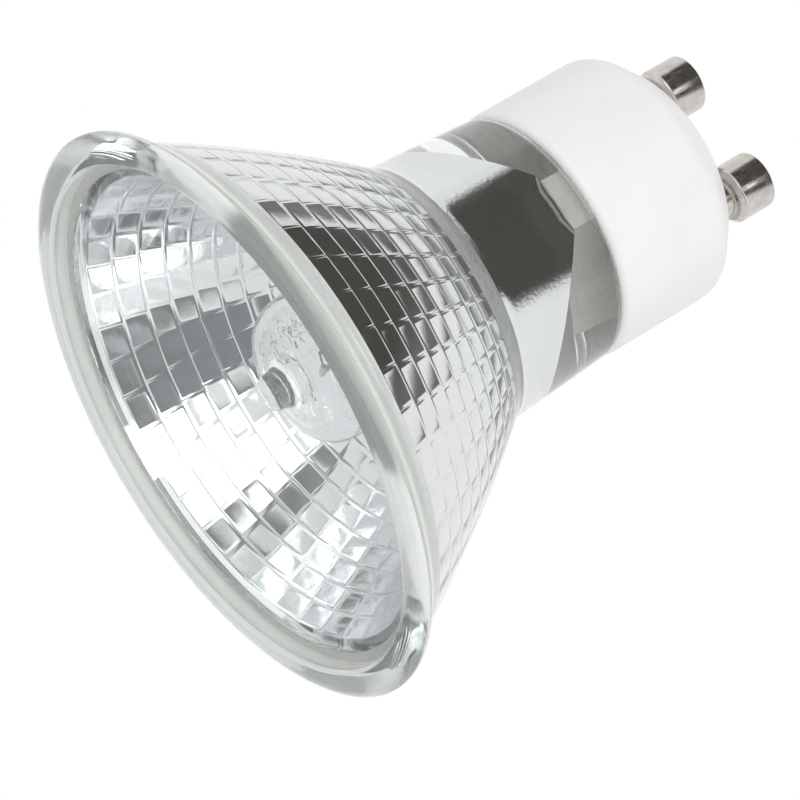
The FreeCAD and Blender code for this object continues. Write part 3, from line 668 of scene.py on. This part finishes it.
base = turned(
    "steatite_base",
    [
        (socket, base_front, socket_edge_round),
        (base_radius, base_front, base_front_round),
        (base_radius, base_high.z - base_bevel, base_bevel_round),
        (base_radius - base_bevel, base_high.z, base_bevel_round),
        (0, base_high.z, 0),
        (0, socket_end, 0),
        (socket, socket_end, socket_fillet),
        (socket, base_front, 0),
    ],
    base_sides,
)
for side in (1, -1):
    bpy.ops.object.select_all(action="DESELECT")
    bpy.ops.mesh.primitive_cylinder_add(
        vertices=pin_hole_sides,
        radius=pin_shank + contact,
        depth=2 * (base_high.z - socket_end) + MM,
        location=(side * pin_x, 0, base_high.z),
    )
    drill = bpy.context.object
    apply_modifier(
        base, "BOOLEAN", "pin_hole", operation="DIFFERENCE", object=drill, solver="EXACT"
    )
    bpy.data.objects.remove(drill)
bpy.ops.object.shade_smooth_by_angle(angle=base_crease)
glaze, shader, place = new_material(
    "satin_glaze", IOR=1.5, Subsurface_Weight=0.15, Subsurface_Scale=0.4 * MM
)
vary(glaze, shader, "Base Color", noise(glaze, place, 4 * MM), glaze_deep, glaze_pale)
vary(glaze, shader, "Roughness", noise(glaze, place, 1 * MM), 0.33, 0.42)
bump(glaze, shader, noise(glaze, place, 0.35 * MM), 0.006 * MM)
base.data.materials.clear()
base.data.materials.append(glaze)
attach(base, "root")
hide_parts("ceramic_base")

# Contact pins: turned brass, nickel plated and tumbled, hollow for the leads, riveted behind the
# end wall. The head twists behind the holder's contacts.
head_radius = (pin_high.x - pin_low.x) / 2
head_length = 3.2 * MM
head_back = pin_high.z - head_length
head_bevel = 0.4 * MM
head_round = 0.3 * MM
head_back_round = 0.1 * MM
bevel_round = 0.08 * MM
pin_neck = 1.55 * MM
neck_fillet = 0.1 * MM
pin_rivet = 2.2 * MM
rivet_round = 0.15 * MM
pin_bore = 0.45 * MM
pin_bore_end = pin_high.z - 2.0 * MM
pin_sides = 96
pin_crease = math.radians(30)
nickel_dark, nickel_pale = (0.52, 0.49, 0.455), (0.66, 0.625, 0.59)
along_pin = (1, 1, 3)

pin = turned(
    "nickel_pin_right",
    [
        (pin_bore, pin_low.z, 0),
        (pin_rivet, pin_low.z, rivet_round),
        (pin_rivet, socket_end, 0),
        (pin_shank, socket_end, 0),
        (pin_shank, base_high.z, 0),
        (pin_neck, base_high.z, 0),
        (pin_neck, head_back - head_bevel, neck_fillet),
        (head_radius - head_bevel, head_back - head_bevel, bevel_round),
        (head_radius, head_back, head_back_round),
        (head_radius, pin_high.z, head_round),
        (0, pin_high.z, 0),
        (0, pin_bore_end, 0),
        (pin_bore, pin_bore_end, 0),
        (pin_bore, pin_low.z, 0),
    ],
    pin_sides,
    axis_x=pin_x,
)
bpy.ops.object.shade_smooth_by_angle(angle=pin_crease)
nickel, shader, place = new_material("tumbled_nickel", Metallic=1.0)
tarnish = noise(nickel, place, 0.8 * MM, detail=5)
vary(nickel, shader, "Base Color", tarnish, nickel_dark, nickel_pale)
scuffs = noise(nickel, place, 0.25 * MM, detail=5, stretch=along_pin)
vary(nickel, shader, "Roughness", scuffs, 0.12, 0.3, end=0.75)
bump(nickel, shader, noise(nickel, place, 0.16 * MM, detail=5, stretch=along_pin), 0.004 * MM)
pin.data.materials.append(nickel)
bpy.ops.object.select_all(action="DESELECT")
pin.select_set(True)
bpy.context.view_layer.objects.active = pin
bpy.ops.object.duplicate(linked=False)
other_pin = bpy.context.object
other_pin.name = "nickel_pin_left"
bpy.ops.object.mode_set(mode="EDIT")
bpy.ops.mesh.select_all(action="SELECT")
bpy.ops.transform.translate(value=(-2 * pin_x, 0, 0))
bpy.ops.object.mode_set(mode="OBJECT")
for piece, node in ((pin, "contact_pin_right"), (other_pin, "contact_pin_left")):
    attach(piece, "root")
    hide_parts(node)

# Front glass: a flat disc of clear float glass, cut round and ground along its front edge. It
# drops on the ledge inside the rim and is held there by the seal.
glass_bevel = 0.25 * MM
glass_front = glass_low.z
glass_radius = glass_high.x
glass_back = seat - contact
float_tint = (0.985, 0.995, 0.99, 1)
float_deep_tint = (0.55, 0.8, 0.74, 1)
float_density = 25

cover = turned(
    "cover_glass",
    [
        (0, glass_front, 0),
        (glass_radius - glass_bevel, glass_front, 0),
        (glass_radius, glass_front + glass_bevel, 0),
        (glass_radius, glass_back, 0),
        (0, glass_back, 0),
    ],
    glass_sides,
)
bpy.ops.object.shade_smooth_by_angle(angle=glass_crease)
float_glass, shader, place = new_material(
    "float_glass", Base_Color=float_tint, Transmission_Weight=1.0, IOR=1.5
)
vary(float_glass, shader, "Roughness", noise(float_glass, place, 5 * MM), 0.0, 0.015, 0.4, 0.8)
bump(float_glass, shader, noise(float_glass, place, 6 * MM, detail=1.0), 0.004 * MM)
absorb(float_glass, float_deep_tint, float_density)
cover.data.materials.append(float_glass)
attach(cover, "root")
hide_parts("front_glass")

# Front seal: milky silicone, run wet into the rebate round the front glass and over its ground
# edge. It cures in place and holds the glass in the rim.
seal_inner = glass_radius - glass_bevel + contact
silicone_cream, silicone_white = (0.94, 0.94, 0.89), (0.98, 0.98, 0.965)

seal = turned(
    "silicone_seal",
    [
        (seal_inner, glass_front, 0),
        (glass_radius + contact, glass_front + glass_bevel, 0),
        (glass_radius + contact, glass_back, 0),
        (rebate - contact, glass_back, 0),
        (rebate - contact, seal_low.z, 0),
        (seal_inner, glass_front, 0),
    ],
    glass_sides,
)
bpy.ops.object.shade_smooth_by_angle(angle=glass_crease)
silicone, shader, place = new_material(
    "milky_silicone", Subsurface_Weight=0.3, Subsurface_Scale=0.4 * MM, IOR=1.41
)
vary(silicone, shader, "Roughness", noise(silicone, place, 0.6 * MM), 0.08, 0.25)
clouds = noise(silicone, place, 0.5 * MM, detail=5)
vary(silicone, shader, "Base Color", clouds, silicone_cream, silicone_white)
bump(silicone, shader, noise(silicone, place, 1.2 * MM), 0.03 * MM)
seal.data.materials.append(silicone)
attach(seal, "root")
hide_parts("front_seal")

# Studio: a white tent, a pale floor that shows only from above, and four cards of cloth that show
# only in glass and metal, as the mirror's dark and grey facets. A front lamp gives the mirror its
# white ones, a lamp beside the camera lights the pieces, and a small one glints on the pins.
lamp_middle = Vector((0, 0, 26 * MM))
camera_place = Vector((0.0600, -0.32507, -0.14508))
camera_right = Vector((0.565521, -0.284469, 0.774121))
camera_look = Vector((-0.148316, 0.888250, 0.434758))
fill_strength = 0.8
floor_drop = 0.1 * MM
floor_size = 4
paper_colour = (0.93, 0.93, 0.93, 1)
card_distance = 0.6

scene = bpy.context.scene
scene.view_settings.view_transform = "Standard"
scene.cycles.max_bounces = 32
scene.cycles.glossy_bounces = 16
scene.cycles.transmission_bounces = 32

camera_up = camera_right.cross(camera_look)
lens = bpy.data.cameras.new("photo_camera")
lens.sensor_width = 36
lens.lens = 206.87
lens.clip_start = 0.01
camera = bpy.data.objects.new("photo_camera", lens)
scene.collection.objects.link(camera)
turn = Matrix((camera_right, camera_up, -camera_look)).transposed()
camera.matrix_world = Matrix.Translation(camera_place) @ turn.to_4x4()
scene.camera = camera


def any_ray(owner, value, *kinds):
    """Raises a value to 1 for light paths of these kinds."""
    path = add_node(owner, "ShaderNodeLightPath")
    for kind in kinds:
        value = combine(owner, "MAXIMUM", value, path.outputs[kind])
    return value


def show_either(owner, share, first, second):
    """Shows the first shader where the share is 0, and the second where it is 1."""
    inputs = {0: share, 1: first.outputs[0], 2: second.outputs[0]}
    mixed = add_node(owner, "ShaderNodeMixShader", inputs)
    output = next(node for node in owner.node_tree.nodes if node.type.startswith("OUTPUT"))
    wire_up(owner, mixed.outputs[0], output.inputs["Surface"])


world = bpy.data.worlds.new("tent")
scene.world = world
world.use_nodes = True
fill_light = world.node_tree.nodes["Background"]
fill_light.inputs["Color"].default_value = (1, 1, 1, 1)
fill_light.inputs["Strength"].default_value = fill_strength
white_wall = add_node(world, "ShaderNodeBackground", {"Color": (1, 1, 1, 1), "Strength": 1.0})
seen = any_ray(world, 0.0, "Is Camera Ray", "Is Glossy Ray", "Is Transmission Ray")
show_either(world, seen, fill_light, white_wall)

bpy.ops.object.select_all(action="DESELECT")
bpy.ops.mesh.primitive_plane_add(size=floor_size, location=(0, 0, -floor_drop))
floor = bpy.context.object
floor.name = "floor"
paper, shader, _ = new_material("floor_paper", Base_Color=paper_colour, Roughness=0.9)
from_below = add_node(paper, "ShaderNodeNewGeometry").outputs["Backfacing"]
through = any_ray(paper, from_below, "Is Glossy Ray", "Is Transmission Ray", "Is Shadow Ray")
show_either(paper, through, shader, add_node(paper, "ShaderNodeBsdfTransparent"))
floor.data.materials.append(paper)


def card(name, direction, width, height, shade, softness, roll=0.0):
    """A flat card with soft edges that faces the lamp and only shows in its reflections."""
    towards = Vector(direction).normalized()
    bpy.ops.object.select_all(action="DESELECT")
    bpy.ops.mesh.primitive_plane_add(size=1, location=lamp_middle + towards * card_distance)
    flag = bpy.context.object
    flag.name = name
    facing = towards.to_track_quat("Z", "Y") @ Quaternion((0, 0, 1), math.radians(roll))
    flag.rotation_euler = facing.to_euler()
    flag.scale = (width, height, 1)
    flag.visible_camera = False
    flag.visible_diffuse = False
    flag.visible_shadow = False
    cloth, shader, place = new_material(name, Base_Color=(*shade, 1), Roughness=1.0)
    across = add_node(cloth, "ShaderNodeSeparateXYZ", {"Vector": place})
    path = add_node(cloth, "ShaderNodeLightPath")
    shown = combine(cloth, "LESS_THAN", path.outputs["Diffuse Depth"], 0.5)
    for axis in ("X", "Y"):
        away = combine(cloth, "ABSOLUTE", across.outputs[axis])
        inside = fade(cloth, away, 0.5, 0.5 - softness, curve="SMOOTHSTEP")
        shown = combine(cloth, "MULTIPLY", shown, inside)
    show_either(cloth, shown, add_node(cloth, "ShaderNodeBsdfTransparent"), shader)
    flag.data.materials.append(cloth)
    return flag


cards = [
    card("dark_flag", (-0.05, -0.616, 0.788), 1.42, 0.94, (0.085, 0.08, 0.07), 0.13, roll=-12),
    card("slate_card", (0.671, -0.483, -0.563), 0.54, 0.23, (0.035, 0.04, 0.055), 0.12, roll=13),
    card("dark_bar", (-0.61, -0.58, -0.54), 0.27, 0.13, (0.12, 0.12, 0.1), 0.2),
    card("veil_card", (-0.148, 0.888, -0.435), 0.9, 0.7, (0.8, 0.8, 0.8), 0.3),
]


def soft_box(name, offset, width, height, power):
    """A flat lamp of that size and power, turned towards the middle of the spot lamp."""
    light = bpy.data.lights.new(name, "AREA")
    light.shape = "RECTANGLE"
    light.size = width
    light.size_y = height
    light.energy = power
    box = bpy.data.objects.new(name, light)
    scene.collection.objects.link(box)
    box.location = lamp_middle + Vector(offset)
    box.rotation_euler = Vector(offset).to_track_quat("Z", "Y").to_euler()
    return box


front_lamp = soft_box("front_lamp", (-0.16, -0.592, -0.405), 0.46, 0.18, 0.52)
front_lamp.visible_diffuse = False
camera_lamp = soft_box("camera_lamp", (0.16, -0.53, -0.23), 0.25, 0.25, 1.15)
camera_lamp.visible_glossy = False
glint_lamp = soft_box("glint_lamp", (0.19, -0.48, 0.31), 0.16, 0.05, 0.05)
glint_lamp.visible_diffuse = False
glint_lamp.visible_transmission = False
